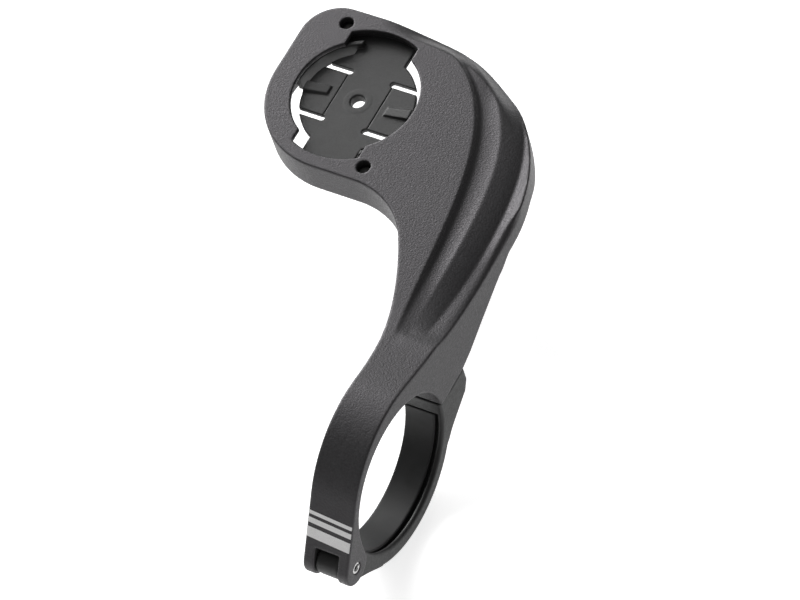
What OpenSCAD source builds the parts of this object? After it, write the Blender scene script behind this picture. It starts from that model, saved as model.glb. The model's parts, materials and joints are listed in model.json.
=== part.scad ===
// Out-front handlebar mount for a cycling computer. X runs along the handlebar, Y forward, Z up.
// The origin is on the axis of the handlebar, in the middle of the arm's width.

/* [Handlebar clamp] */
// Radius of the handlebar
bar_r = 15.9; // [15.5:0.05:16]
// Width of the arm, and of the upper jaw
arm_w = 9.6; // [9:0.1:11]
// Outer radius of the arm where it passes over the bar
crown_r = 19.9; // [19.4:0.1:21]
// How far the crown's centre sits forward of the bar
crown_y = 2; // [1:0.1:3]
// How far the crown's centre sits above the bar
crown_z = -0.5; // [-1:0.1:0]
// Gap between the two jaws at the bolt
split_gap = 1; // [0.6:0.1:1.6]
// Width of the lower jaw
jaw_w = 8.4; // [8:0.1:8.8]
// Outer radius of the lower jaw
jaw_r = 19; // [18.6:0.1:19.6]
// Front face of the lower jaw's lug, forward of the bar
lug_y = 25.6; // [25:0.1:26.5]
// Front face of the upper jaw's lug
arm_lug_y = 24.8; // [24:0.1:25.5]

/* [Hinge] */
// Hinge pin's place, forward of the bar
pin_y = -19.7; // [-20.2:0.1:-19.4]
// Hinge pin's height
pin_z = -3; // [-3.5:0.1:-2.5]
// Hinge pin's radius
pin_r = 1.25; // [1:0.05:1.4]
// Radius of the hole down the rolled pin
pin_hole_r = 0.65; // [0.4:0.05:0.8]
// Radius of the two ears on the arm
ear_r = 3.6; // [3.4:0.1:3.9]
// Width of the slot between the ears
slot_w = 5; // [4.6:0.1:5.4]
// Top of the window above the knuckle
window_z = 1.6; // [1:0.1:2.4]
// Radius of the lower jaw's knuckle
knuckle_r = 3.1; // [2.8:0.1:3.3]
// Gap between the lower jaw and the ears
hinge_gap = 0.3; // [0.2:0.05:0.5]

/* [Clamp bolt] */
// Bolt's place, forward of the bar
bolt_y = 21; // [20.8:0.1:21.4]
// Shank radius below the thread
bolt_r = 1.5; // [1.4:0.05:1.6]
// Core radius of the thread
thread_r = 1.25; // [1.15:0.05:1.3]
// Head radius
bolt_head_r = 2.75; // [2.5:0.05:2.8]
// Head height
bolt_head_h = 3; // [2.4:0.1:3.2]
// Width across the flats of the socket
socket_af = 2.5; // [2:0.1:3]
// Depth of the seat below the split
seat_drop = 3; // [2.6:0.1:3.2]
// Washer radius
washer_r = 3; // [2.8:0.05:3]
// Washer thickness
washer_t = 0.5; // [0.4:0.1:0.6]
// Outer radius of the brass thread insert
nut_r = 2.4; // [2.2:0.1:2.6]
// Length of the thread insert
nut_l = 4.5; // [4:0.1:5]

/* [Liner] */
// Thickness of the rubber liner
liner_t = 1; // [0.8:0.1:1.2]
// Right edge of the liner, from the middle plane
liner_x = 2.4; // [2:0.1:2.8]
// Width of the groove beside the liner
groove_w = 0.8; // [0.6:0.1:1]

/* [Head] */
// Centre of the receptacle, to the left of the clamp
head_x = -38.5; // [-40:0.1:-37]
// Centre of the receptacle, forward of the bar
head_y = 66.4; // [65:0.1:68]
// Top of the head
top_z = 15; // [14.5:0.1:16]
// Depth of the head
slab_t = 8; // [7.6:0.1:9]
// Radius of the head's rounded side
head_r = 18.4; // [18.2:0.1:19]
// Reach of the head's front edge from the middle of the receptacle
front_reach = 18.6; // [18.4:0.1:19.2]
// Radius of the squared front left corner
corner_r = 8; // [6:0.5:10]

/* [Neck] */
// Radius of the outer sweep from the neck to the head
sweep_r = 36; // [34:0.5:38]
// Radius of the arm's long left curve
neck_r = 71; // [66:1:76]
// Where that curve leaves the straight side
neck_y = 4; // [2:0.5:6]
// Radius of the inside corner below the head
inner_r = 17; // [14:0.5:18]
// Fall of the neck from the crown, in degrees
neck_fall = 15.6; // [14:0.2:17]
// Where the underside of the neck levels out
belly_y = 42.5; // [40:0.5:45]
// Depth of the three terraces outside the ridges
terrace = [0.9, 1.9, 2.8];
// Straight side of each ridge
ridge_x = [-5.6, -2.2, 2.3];
// Where each ridge starts to curve
ridge_y = [38, 44, 40];
// Radius of each ridge's curve
ridge_r = [60, 46, 80];

/* [Receptacle] */
// Radius of the mouth inside the lips
mouth_r = 13.05; // [12.9:0.05:13.2]
// Radius of the two notches
notch_r = 15.6; // [15.4:0.1:15.8]
// Left side of the front notch, from the middle
notch_left = 8; // [7.8:0.1:8.2]
// Right side of the front notch, from the middle
notch_right = 6.7; // [6.5:0.1:6.9]
// Radius of the track under the lips
track_r = 15.9; // [15.8:0.1:16]
// Thickness of the lips
lip_t = 1.1; // [1:0.1:1.3]
// Depth of the floor below the top
floor_drop = 2.5; // [2.4:0.1:2.8]
// Radius of the floor
floor_r = 11.85; // [11.6:0.05:12]
// Thickness of the floor
floor_t = 1.1; // [1:0.1:2]
// Left and right side of the bridge that carries the floor under the front notch
bridge_x = [-6.3, 5]; // [-7:0.1:6]
// Height of the insert plate's rims
rim_h = 3.6; // [3.3:0.1:3.8]
// Thickness of the rims
rim_t = 1; // [0.8:0.1:1.2]
// Where the front and the rear rim start, from the middle
rim_x = [5.1, 6.95]; // [5:0.05:7.5]
// Corner of the relief slot beside the rear rim, from the middle
relief_at = [-7.05, 10.9]; // [-8:0.05:11]
// Width and length of that slot
relief = [0.85, 3.1]; // [0.5:0.05:3.2]
// Outer radius of the insert plate
plate_r = 16.4; // [16.2:0.1:16.8]
// Radius of the hole in the middle of the floor
centre_r = 1.45; // [1.3:0.05:1.6]
// Centre line of the four slots
slot_y = 6; // [5.8:0.1:6.2]
// Width of the four slots
slot_t = 0.9; // [0.8:0.05:1]
// Radius of the relief hole at the inner end of each slot
slot_end_r = 0.52; // [0.51:0.01:0.6]
// Inner end of the slots and root of the spring fingers
finger_x = 4.95; // [4.6:0.05:5.2]
// Gap at the root of each finger
finger_gap = 0.1; // [0.06:0.02:0.14]
// Thickness of the fingers
finger_t = 1; // [0.8:0.1:1.4]
// Height of the detent on each finger
detent_h = 0.7; // [0.5:0.05:0.8]

/* [Insert screws] */
// Distance of each screw from the middle
screw_d = 18; // [17.8:0.1:18.2]
// Direction of the front screw
screw_a = 124; // [123:1:127]
// Screw radius
screw_r = 1.4; // [1.3:0.05:1.45]
// Radius of the screw holes in the head
screw_hole_r = 1.45; // [1.4:0.05:1.5]
// Screw head radius
screw_head_r = 2.2; // [2:0.1:2.2]
// Screw head height
screw_head_h = 1.2; // [1:0.1:1.3]
// Radius of the plate's screw ears
lobe_r = 2.4; // [2.3:0.1:2.5]

/* [Hidden] */
$fn = 96;
FIT = 0.05;
EDGE = 0.01;
FAR = 120;
HALF_W = arm_w / 2;
CROWN = [crown_y, crown_z];
PIN = [pin_y, pin_z];
HEAD = [head_x, head_y];
BAR = [0, 0];
FLOOR_Z = top_z - floor_drop;
LIP_Z = top_z - lip_t;
BASE_Z = top_z - slab_t;
RIM_Z = LIP_Z - rim_h;
JAW_Z = split_gap / 2;
LOBE_Z = FLOOR_Z - 0.5;
RIM_R = mouth_r + FIT;
FLANGE_A = 105;
SEAT_Z = -seat_drop;
NUT_Z = 1;
TIP_Z = NUT_Z + nut_l - 1;
BOLT_TILT = atan2((NUT_Z + TIP_Z) / 2 - pin_z, bolt_y - pin_y);
NECK_TOP = CROWN + crown_r * [sin(neck_fall), cos(neck_fall)];
NECK_END = NECK_TOP.x + (NECK_TOP.y - top_z) / tan(neck_fall);
RUNOUT = 24;
INNER_Y = head_y - head_r;
NECK_C = [-neck_r - HALF_W, neck_y];
INNER_C = [NECK_C.x + sqrt(pow(neck_r - inner_r, 2) - pow(INNER_Y - inner_r - neck_y, 2)),
           INNER_Y - inner_r];

// Point at distance r from c in direction a
function polar(c, r, a) = c + r * [cos(a), sin(a)];

// Points along an arc, both ends included
function arc(c, r, from, to) =
    let (n = ceil(abs(to - from) / 3)) [for (i = [0 : n]) polar(c, r, from + (to - from) * i / n)];

// Direction of the outer tangent that circles (a, ra) and (b, rb) share, on one side
function tangent_a(a, ra, b, rb, side) =
    atan2(b.y - a.y, b.x - a.x) + side * acos((ra - rb) / norm(b - a));

// Depth of a terrace along the neck, easing in from nothing
function ease(t) = let (u = min(1, max(0, t))) u * u * (3 - 2 * u);

// Fills between two circles up to their outer tangent
module fairing(a, ra, b, rb, side) {
    t = tangent_a(a, ra, b, rb, side);
    edge = [polar(a, ra, t), polar(b, rb, t)];
    polygon(side < 0 ? [a, edge[0], edge[1], b] : [b, edge[1], edge[0], a]);
}

// Runs a side profile, drawn as (y, z), across a width
module across(w, x = 0) {
    translate([x, 0, 0]) rotate([90, 0, 90]) linear_extrude(w, center = true) children();
}

// A wedge of a circle between two directions
module sector(r, from, to) {
    steps = 4;
    rim = [for (i = [0 : steps]) polar([0, 0], 2 * r, from + (to - from) * i / steps)];
    intersection() {
        circle(r);
        polygon(concat([[0, 0]], rim));
    }
}

// A wedge of a ring
module arc_band(r1, r2, from, to) {
    difference() {
        sector(r2, from, to);
        circle(r1);
    }
}

// Places children on the receptacle, at a height
module at_head(z = 0) {
    translate([head_x, head_y, z]) children();
}

// Repeats children on both sides of the receptacle
module both_turns() {
    for (a = [0, 180]) rotate(a) children();
}

// Places children along the bolt, with zero at the split
module on_bolt() {
    translate([0, bolt_y, 0]) rotate([BOLT_TILT, 0, 0]) children();
}

// Places children on a screw of the insert plate
module at_screw(turn, z = 0) {
    at_head(z) rotate(screw_a + turn) translate([screw_d, 0, 0]) children();
}

// Arm seen from above
module arm_plan() {
    difference() {
        union() {
            translate([-HALF_W, pin_y - 2 * ear_r]) square([arm_w, sweep_y() - pin_y + 2 * ear_r]);
            translate([head_x, neck_y]) square([HALF_W - head_x, sweep_y() - neck_y]);
            intersection() {
                translate([HALF_W - sweep_r, sweep_y()]) circle(sweep_r);
                translate([head_x, sweep_y()]) square([HALF_W - head_x, sweep_r]);
            }
        }
        neck_hollow();
    }
    translate(HEAD) circle(head_r);
    squared_corner();
}

// Height at which the outer sweep begins, so that it ends on the head's front edge
function sweep_y() = head_y + front_reach - sweep_r;

// What the plan leaves out on the left of the neck
module neck_hollow() {
    bend = atan2(INNER_C.y - neck_y, INNER_C.x - NECK_C.x);
    polygon(concat(arc(NECK_C, neck_r, 0, bend), arc(INNER_C, inner_r, bend, 90),
                   [[head_x - 1, INNER_Y], [head_x - 1, neck_y]]));
}

// Front left corner of the head
module squared_corner() {
    inset = [head_r - corner_r, front_reach - corner_r];
    translate(HEAD) {
        translate([-inset.x, inset.y]) circle(corner_r);
        translate([-head_r, 0]) square([head_r, inset.y]);
        translate([-inset.x, 0]) square([inset.x, front_reach]);
    }
}

// Arm seen from the right
module arm_side() {
    difference() {
        union() {
            intersection() {
                translate(CROWN) circle(crown_r);
                translate([-FAR, JAW_Z]) square([2 * FAR, FAR]);
            }
            fairing(PIN, ear_r, CROWN, crown_r, 1);
            polygon([PIN, PIN + [ear_r, 0], [-bar_r, JAW_Z], CROWN]);
            translate(PIN) circle(ear_r);
            polygon([[0, JAW_Z], [arm_lug_y, JAW_Z], [belly_y, BASE_Z], [FAR, BASE_Z],
                     [FAR, top_z], [NECK_END, top_z], NECK_TOP]);
        }
        circle(bar_r);
    }
}

// Outer side of ridge i, seen from above
module beyond_ridge(i) {
    difference() {
        translate([ridge_x[i] - ridge_r[i], NECK_END]) square([FAR, FAR]);
        translate([ridge_x[i] - ridge_r[i], ridge_y[i]]) circle(ridge_r[i]);
        translate([ridge_x[i] - ridge_r[i], 0]) square([ridge_r[i], ridge_y[i]]);
    }
}

// Material taken off the top outside ridge i
module terrace_cut(i) {
    steps = 6;
    run = [for (k = [0 : steps])
        [NECK_END + RUNOUT * k / steps, top_z - terrace[i] * ease(k / steps)]];
    intersection() {
        linear_extrude(FAR) beyond_ridge(i);
        across(FAR) polygon(concat(run, [[FAR, top_z - terrace[i]], [FAR, FAR], [NECK_END, FAR]]));
    }
}

// Front half of a circle, between two sides
module strip(r, left, right) {
    intersection() {
        circle(r);
        translate([left, 0]) square([right - left, r]);
    }
}

// Mouth, notches and tab track of the receptacle
module socket_cut() {
    at_head(RIM_Z) cylinder(r = mouth_r, h = FAR);
    at_head(RIM_Z) linear_extrude(FAR) both_turns() strip(notch_r, -notch_left, notch_right);
    at_head(RIM_Z) cylinder(r = track_r, h = LIP_Z - RIM_Z);
}

// Pocket in the underside that takes the insert plate
module plate_pocket() {
    at_head(BASE_Z - 1) cylinder(r = plate_r + FIT, h = FLOOR_Z - BASE_Z + 1);
    for (turn = [0, 180]) {
        at_screw(turn, BASE_Z - 1) cylinder(r = lobe_r + FIT, h = LOBE_Z - BASE_Z + 1);
        at_screw(turn, BASE_Z) cylinder(r = screw_hole_r, h = FAR);
    }
}

// Arm, upper jaw and head in one moulding
module arm() {
    color("#2b2b2d") difference() {
        intersection() {
            translate([0, 0, -FAR / 2]) linear_extrude(FAR) arm_plan();
            across(2 * FAR) arm_side();
        }
        for (i = [0 : len(terrace) - 1]) terrace_cut(i);
        socket_cut();
        plate_pocket();
        across(slot_w) translate([pin_y - 2 * ear_r, pin_z - 2 * ear_r])
            square([2 * ear_r - pin_y - bar_r + 2, window_z - pin_z + 2 * ear_r]);
        across(FAR) translate(PIN) circle(pin_r);
        on_bolt() translate([0, 0, -2]) cylinder(r = nut_r, h = NUT_Z + nut_l + 2);
        on_bolt() cylinder(r = bolt_r + FIT, h = NUT_Z + nut_l + 1.5);
    }
}

// Floor with its bridges and flanges, open round the two spring fingers
module floor_plan() {
    difference() {
        union() {
            circle(floor_r);
            both_turns() {
                strip(plate_r, bridge_x[0], bridge_x[1]);
                arc_band(RIM_R, plate_r, FLANGE_A, 180);
            }
        }
        circle(centre_r);
        both_turns() {
            translate([finger_x, -slot_y - slot_t / 2]) square([floor_r, 2 * slot_y + slot_t]);
            for (s = [-1, 1]) translate([finger_x, s * slot_y]) circle(slot_end_r);
        }
        rotate(180) translate(relief_at) square(relief);
    }
}

// Thin wall under a lip, from its start in a notch to the end of the flange
module rim_plan(start) {
    difference() {
        strip(RIM_R + rim_t, -plate_r, -start);
        circle(RIM_R);
    }
}

// Rims, floor and lobes of the quarter turn receptacle
module insert_plate() {
    lobe_h = LOBE_Z - RIM_Z;
    color("#222224") difference() {
        union() {
            at_head(RIM_Z) linear_extrude(rim_h) {
                rim_plan(rim_x[0]);
                rotate(180) rim_plan(rim_x[1]);
            }
            at_head(FLOOR_Z - floor_t) linear_extrude(floor_t) floor_plan();
            for (turn = [0, 180]) at_screw(turn, RIM_Z) cylinder(r = lobe_r, h = lobe_h);
        }
        for (turn = [0, 180]) at_screw(turn, RIM_Z - 1) cylinder(r = screw_r + FIT, h = lobe_h + 2);
    }
}

// One spring finger of the floor, with the detent that a tab rides over
module detent_finger() {
    root = finger_x + finger_gap;
    half = slot_y - slot_t / 2;
    linear_extrude(finger_t) intersection() {
        circle(floor_r);
        translate([root, -half]) square([floor_r, 2 * half]);
    }
    intersection() {
        translate([floor_r - 2.8, 0, finger_t]) across(5)
            polygon([[-1.2, -EDGE], [-0.9, detent_h], [0.4, detent_h], [2, -EDGE]]);
        cylinder(r = floor_r, h = 2 * finger_t);
    }
}

module detent_left() {
    color("#242426") at_head(FLOOR_Z - finger_t) rotate(180) detent_finger();
}

module detent_right() {
    color("#242426") at_head(FLOOR_Z - finger_t) detent_finger();
}

// Screw that holds the insert plate, put in from below
module insert_screw(turn) {
    cross = 0.7;
    color("#3a3a3c") at_screw(turn, RIM_Z) difference() {
        union() {
            translate([0, 0, -screw_head_h]) cylinder(r = screw_head_r, h = screw_head_h);
            cylinder(r = screw_r, h = FLOOR_Z - RIM_Z + 1);
        }
        for (a = [0, 90]) rotate(a) translate([-1.2, -cross / 2, -screw_head_h - 1])
            cube([2.4, cross, 1.8]);
    }
}

module insert_screw_front() {
    insert_screw(0);
}

module insert_screw_rear() {
    insert_screw(180);
}

// Brass sleeve in the upper lug that the bolt screws into
module thread_insert() {
    color("#b08d4c") on_bolt() translate([0, 0, NUT_Z]) difference() {
        cylinder(r = nut_r, h = nut_l);
        translate([0, 0, -1]) cylinder(r = bolt_r, h = nut_l + 2);
    }
}

// Rolled steel pin, split along its length
module hinge_pin() {
    slit = 0.4;
    color("#b9bbbe") across(arm_w - 0.2) difference() {
        translate(PIN) circle(pin_r);
        translate(PIN) circle(pin_hole_r);
        translate(PIN - [0, slit / 2]) square([2 * pin_r, slit]);
    }
}

// Lower jaw seen from the right, without its knuckle
module jaw_side() {
    lug_h = 6.3;
    difference() {
        union() {
            intersection() {
                circle(jaw_r);
                translate([-FAR, -FAR - JAW_Z]) square([2 * FAR, FAR]);
            }
            fairing(PIN, knuckle_r + hinge_gap, BAR, jaw_r, -1);
            polygon([[bar_r - 1, -JAW_Z], [lug_y - 0.6, -JAW_Z], [lug_y, -JAW_Z - 0.8],
                     [lug_y, 1.8 - lug_h], [lug_y - 1.4, -JAW_Z - lug_h], polar(BAR, jaw_r, -36), BAR]);
        }
        circle(bar_r);
    }
}

// Lower jaw, with its knuckle between the ears and its lug in front
module lower_jaw() {
    cheek_z = pin_z - 1.2;
    recess_r = bar_r + liner_t;
    color("#262628") difference() {
        union() {
            difference() {
                across(jaw_w) jaw_side();
                across(FAR) translate(PIN) circle(ear_r + hinge_gap);
                across(FAR) translate([-FAR, cheek_z]) square([FAR - bar_r / 2, FAR]);
            }
            across(slot_w - 0.2) difference() {
                union() {
                    translate(PIN) circle(knuckle_r);
                    intersection() {
                        jaw_side();
                        translate([2 * pin_y, 2 * pin_y]) square([-1.5 * pin_y, cheek_z - 2 * pin_y]);
                    }
                    polygon([PIN, PIN + [knuckle_r, 0], polar(BAR, bar_r + 0.2, 197), polar(BAR, jaw_r, 205)]);
                }
                circle(bar_r);
            }
        }
        across(FAR) translate(PIN) circle(pin_r + FIT);
        across(jaw_w / 2 + liner_x + groove_w, (liner_x + groove_w - jaw_w / 2) / 2)
            arc_band(bar_r - 1, recess_r, 203, 348);
        on_bolt() translate([0, 0, -FAR / 2]) cylinder(r = bolt_r + 0.25, h = FAR / 2 + 3);
        on_bolt() translate([0, 0, SEAT_Z - FAR / 2]) cylinder(r = washer_r + 0.1, h = FAR / 2);
    }
}

// Rubber pad that grips the bar
module jaw_liner() {
    color("#1b1b1c") across(jaw_w / 2 + liner_x, (liner_x - jaw_w / 2) / 2)
        arc_band(bar_r, bar_r + liner_t, 204, 347);
}

module bolt_washer() {
    color("#9a9ca0") on_bolt() translate([0, 0, SEAT_Z - washer_t]) difference() {
        cylinder(r = washer_r, h = washer_t);
        translate([0, 0, -1]) cylinder(r = bolt_r + 0.1, h = washer_t + 2);
    }
}

// Socket head bolt, put in from below
module clamp_bolt() {
    under_z = SEAT_Z - washer_t;
    color("#4a4b4e") on_bolt() difference() {
        union() {
            translate([0, 0, under_z - bolt_head_h]) cylinder(r = bolt_head_r, h = bolt_head_h);
            translate([0, 0, under_z]) cylinder(r = bolt_r, h = -under_z);
            cylinder(r = thread_r, h = TIP_Z);
        }
        translate([0, 0, under_z - bolt_head_h - 1])
            cylinder(r = socket_af / sqrt(3), h = 1 + bolt_head_h / 2, $fn = 6);
    }
}

arm();
insert_plate();
detent_left();
detent_right();
insert_screw_front();
insert_screw_rear();
thread_insert();
hinge_pin();
lower_jaw();
jaw_liner();
bolt_washer();
clamp_bolt();
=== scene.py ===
"""Out-front handlebar mount for a cycling computer: the looks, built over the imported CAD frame."""
import itertools
import json
import math

import bpy
import numpy as np
from mathutils import Matrix, Vector


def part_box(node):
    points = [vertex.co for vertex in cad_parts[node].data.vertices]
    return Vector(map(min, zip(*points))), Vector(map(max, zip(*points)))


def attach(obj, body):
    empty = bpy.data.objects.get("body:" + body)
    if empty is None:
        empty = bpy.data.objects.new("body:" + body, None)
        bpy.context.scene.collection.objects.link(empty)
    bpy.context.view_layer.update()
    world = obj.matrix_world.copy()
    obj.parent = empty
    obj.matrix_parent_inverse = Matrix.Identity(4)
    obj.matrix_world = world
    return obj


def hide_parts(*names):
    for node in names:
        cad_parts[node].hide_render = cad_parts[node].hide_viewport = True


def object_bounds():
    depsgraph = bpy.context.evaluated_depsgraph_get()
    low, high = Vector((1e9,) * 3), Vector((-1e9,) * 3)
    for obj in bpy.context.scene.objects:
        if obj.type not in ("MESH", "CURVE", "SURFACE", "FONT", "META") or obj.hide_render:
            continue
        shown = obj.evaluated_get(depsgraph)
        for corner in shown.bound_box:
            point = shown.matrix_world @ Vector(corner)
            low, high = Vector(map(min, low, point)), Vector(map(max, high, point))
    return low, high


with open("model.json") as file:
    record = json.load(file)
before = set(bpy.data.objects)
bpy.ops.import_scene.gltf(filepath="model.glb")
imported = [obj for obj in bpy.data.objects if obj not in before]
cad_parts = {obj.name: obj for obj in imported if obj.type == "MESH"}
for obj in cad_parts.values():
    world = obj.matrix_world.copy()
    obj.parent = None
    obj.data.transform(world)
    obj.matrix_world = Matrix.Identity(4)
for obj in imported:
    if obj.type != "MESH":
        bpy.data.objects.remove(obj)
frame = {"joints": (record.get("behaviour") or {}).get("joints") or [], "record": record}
cad_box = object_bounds()
MM = 0.001
ARM_STEP = 0.22      # grid of the arm, in mm
PART_STEP = 0.15     # grid of the other mouldings, in mm
SMALL_STEP = 0.06    # grid of the metal pieces, in mm


# ---------------------------------------------------------------- measures from the frame, in mm

def node_box(name):
    """Lowest and highest corners of a CAD node, in mm."""
    lo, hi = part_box(name)
    return np.array(lo) / MM, np.array(hi) / MM


def mount(name):
    """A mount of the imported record."""
    return next(m for m in frame["record"]["mounts"] if m["name"] == name)


def joint(name):
    """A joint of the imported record."""
    return next(j for j in frame["joints"] if j["name"] == name)


ARM_LO, ARM_HI = node_box("arm")
JAW_LO, JAW_HI = node_box("lower_jaw")
PLATE_LO, PLATE_HI = node_box("insert_plate")
LINER_LO, LINER_HI = node_box("jaw_liner")

BAR_R = mount("handlebar_clamp")["dims"]["r_mm"]
MOUTH_R = mount("computer_receptacle")["dims"]["r_mm"]
HEAD_X, HEAD_Y, FLOOR_Z = (v / MM for v in mount("computer_receptacle")["pos_m"])
TOP_Z = FLOOR_Z + mount("computer_receptacle")["dims"]["length_mm"]
PIN_Y, PIN_Z = (v / MM for v in joint("jaw_hinge")["pos_m"][1:])
HALF_W = ARM_HI[0]
JAW_HALF = JAW_HI[0]

HEAD_R = HEAD_X - ARM_LO[0]
FRONT_Y = ARM_HI[1]
BASE_Z = TOP_Z - 8.0
CORNER_R = 8.0
SWEEP_R = 36.0
NECK_R = 71.0
NECK_Y = 4.0
INNER_R = 17.0
INNER_Y = HEAD_Y - HEAD_R

DIP_R = 40.0
CROWN = (2.0, -0.5)
CROWN_R = ARM_HI[2] - CROWN[1]
EAR_R = PIN_Z - ARM_LO[2]
EAR_SLOT = 2.5
WINDOW_Z = 1.6
PIN_R = 1.25
NECK_FALL = math.radians(15.6)
ARM_LUG_Y = 24.8
SPLIT = 0.5
BELLY = [(ARM_LUG_Y, SPLIT), (28.6, 1.5), (34.0, 3.75), (42.5, BASE_Z)]
BEVEL_W, BEVEL_H = 0.95, 1.9
BEVEL_IN, BEVEL_END = ((42, 6), (-12, 6)), (66, 8)

NOTCH_R, TRACK_R = 15.6, 15.9
NOTCH_LEFT, NOTCH_RIGHT = 8.0, 6.7
LIP_Z = TOP_Z - 1.1
SCREW_D, SCREW_A, SCREW_HOLE_R = 18.0, 124.0, 1.42

FIT = 0.05
NUT_R, NUT_LOW, NUT_TOP, HOLE_PAST = 2.4, 1.0, 5.5, 1.5
SHANK_R, CORE_R, TIP_TOP, THREAD_PITCH = 1.5, 1.25, 4.5, 0.5
WASHER_R, WASHER_T, SEAT_DROP = 3.0, 0.5, 3.0
BOLT_HEAD_R, BOLT_HEAD_H, SOCKET_AF = 2.75, 3.0, 2.5
PLATE_R, LOBE_R, LOBE_Z = 16.4, 2.4, FLOOR_Z - 0.5
FLOOR_R, FLOOR_T, CENTRE_R, BOSS_R = 11.85, 1.1, 1.45, 2.6
RIM_T, RIM_X = 1.0, (5.1, 6.95)
BRIDGE_X, FLANGE_A = (-6.3, 5.0), 105
RELIEF_X, RELIEF_Y = (6.2, 7.05), (-14.0, -10.9)
FINGER_X, SLOT_Y, SLOT_T = 4.95, 6.0, 1.2
DETENT_IN = 6.55
# A detent's two sides: place at the inner end, and how far each moves over by the outer end.
DETENT_SIDES = [(-1.45, 0.6), (0.75, 1.2)]
NEAR_LEAN, FAR_LEAN, DETENT_RISE = 0.15, 0.7, 0.45
FINGER_GAP, UNDERCUT = 0.03, 0.12
SCREW_R, SCREW_HEAD_R, SCREW_HEAD_H, SCREW_DOME_R, SCREW_PITCH = 1.45, 2.2, 1.2, 4.2, 0.7
SCREW_GROOVE, CROSS_REACH, CROSS_HALF, CROSS_DEPTH = 0.32, 1.15, 0.33, 0.95
JAW_R, LUG_H, CHEEK_Z = 19.0, 6.3, -4.2
KNUCKLE_R, TONGUE_HALF = 3.1, 2.4
LUG_CORNER = (1.4, 2.3)
# Directions in degrees about the bar's axis: lug, neck, and the ends of the liner's seat and liner.
LUG_A, NECK_A, SEAT_A, LINER_A = -36, (205, 197), (203, 348), (204, 347)
LINER_T, GROOVE_W = 1.0, 0.8
PIN_HOLE_R, PIN_SLIT = 0.65, 0.4

# Printed bands on the rear of the arm: heights in mm at its middle plane.
BANDS = [(6.95, 7.57), (5.50, 6.40), (3.05, 4.80)]
BAND_TILT = 0.05
BAND_Y = -10.0

# Soft boxes: name, place in metres from the middle of the part, size in metres, power in watts.
MIDDLE = (-0.02, 0.03, 0)
LIGHTS = [("left_box", (-0.95, 0.55, 0.50), 0.9, 22),
          ("over_box", (-0.55, 0.45, 1.15), 0.7, 1.6),
          ("front_fill", (0.1, -1.2, 0.7), 1.2, 1.3)]
FLOOR_HALF, FLOOR_GAP, FLOOR_GLOW, WORLD_GLOW = 6.0, 0.0003, 0.7, 0.22

# The camera: place in mm, its right, down and forward directions, and lens in mm.
CAMERA_PLACE = (260.97, -244.75, 549.85)
CAMERA_AXES = ((0.8634, 0.4647, -0.1966), (0.2971, -0.7831, -0.5463), (-0.4078, 0.4133, -0.8142))
CAMERA_LENS = 157.5


# ---------------------------------------------------------------- outlines

def arc(c, r, a0, a1, step=3.0):
    """Points round a circle from a0 to a1 degrees, both ends included."""
    n = max(1, math.ceil(abs(a1 - a0) / step))
    return [(c[0] + r * math.cos(math.radians(a0 + (a1 - a0) * i / n)),
             c[1] + r * math.sin(math.radians(a0 + (a1 - a0) * i / n))) for i in range(n + 1)]


def polar(c, r, a):
    """The point of a circle in the direction of a degrees."""
    return arc(c, r, a, a)[0]


def tangent(c0, r0, c1, r1, side):
    """Direction, in degrees, of the outer tangent points of two circles on one side."""
    d = math.dist(c0, c1)
    return math.degrees(math.atan2(c1[1] - c0[1], c1[0] - c0[0]) + side * math.acos((r0 - r1) / d))


def arm_plan():
    """The arm from above, anticlockwise from the rear right."""
    neck_c = (-NECK_R - HALF_W, NECK_Y)
    rise = INNER_Y - INNER_R - NECK_Y
    inner_c = (neck_c[0] + math.sqrt((NECK_R - INNER_R) ** 2 - rise ** 2), INNER_Y - INNER_R)
    bend = math.degrees(math.atan2(rise, inner_c[0] - neck_c[0]))
    rear = ARM_LO[1] - 5
    return ([(HALF_W, rear)]
            + arc((HALF_W - SWEEP_R, FRONT_Y - SWEEP_R), SWEEP_R, 0, 90)
            + arc((HEAD_X - HEAD_R + CORNER_R, FRONT_Y - CORNER_R), CORNER_R, 90, 180)
            + arc((HEAD_X, HEAD_Y), HEAD_R, 180, 270)
            + arc(inner_c, INNER_R, 90, bend)
            + arc(neck_c, NECK_R, bend, 0)
            + [(-HALF_W, rear)])


def top_line():
    """The top of the arm as (y, z), from the front back to where it turns down to the hinge."""
    start = 90 - math.degrees(NECK_FALL)
    crown = arc(CROWN, CROWN_R, start, tangent((PIN_Y, PIN_Z), EAR_R, CROWN, CROWN_R, 1))
    neck_y = crown[0][0] + (crown[0][1] - TOP_Z) / math.tan(NECK_FALL)
    dip_y = neck_y + DIP_R * math.tan(NECK_FALL / 2)
    dip = arc((dip_y, TOP_Z + DIP_R), DIP_R, 270, 270 - math.degrees(NECK_FALL))
    return [(FRONT_Y + 5, TOP_Z)] + dip + crown


def arm_side():
    """The arm from the right as (y, z), anticlockwise from the split."""
    pin = (PIN_Y, PIN_Z)
    ear = arc(pin, EAR_R, tangent(pin, EAR_R, CROWN, CROWN_R, 1), 360)
    return ([(BAR_R - 1, SPLIT), *BELLY, (FRONT_Y + 5, BASE_Z)]
            + top_line() + ear + [(-BAR_R, SPLIT)])


def bezier(points, steps=48):
    """Points along a cubic curve with four control points."""
    p = np.array(points, float)
    t = np.linspace(0, 1, steps)[:, None]
    return ((1 - t) ** 3 * p[0] + 3 * (1 - t) ** 2 * t * p[1]
            + 3 * (1 - t) * t * t * p[2] + t ** 3 * p[3])


# ---------------------------------------------------------------- distance fields
# A field is the distance to a surface, in mm: negative inside the material and positive outside.

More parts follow.
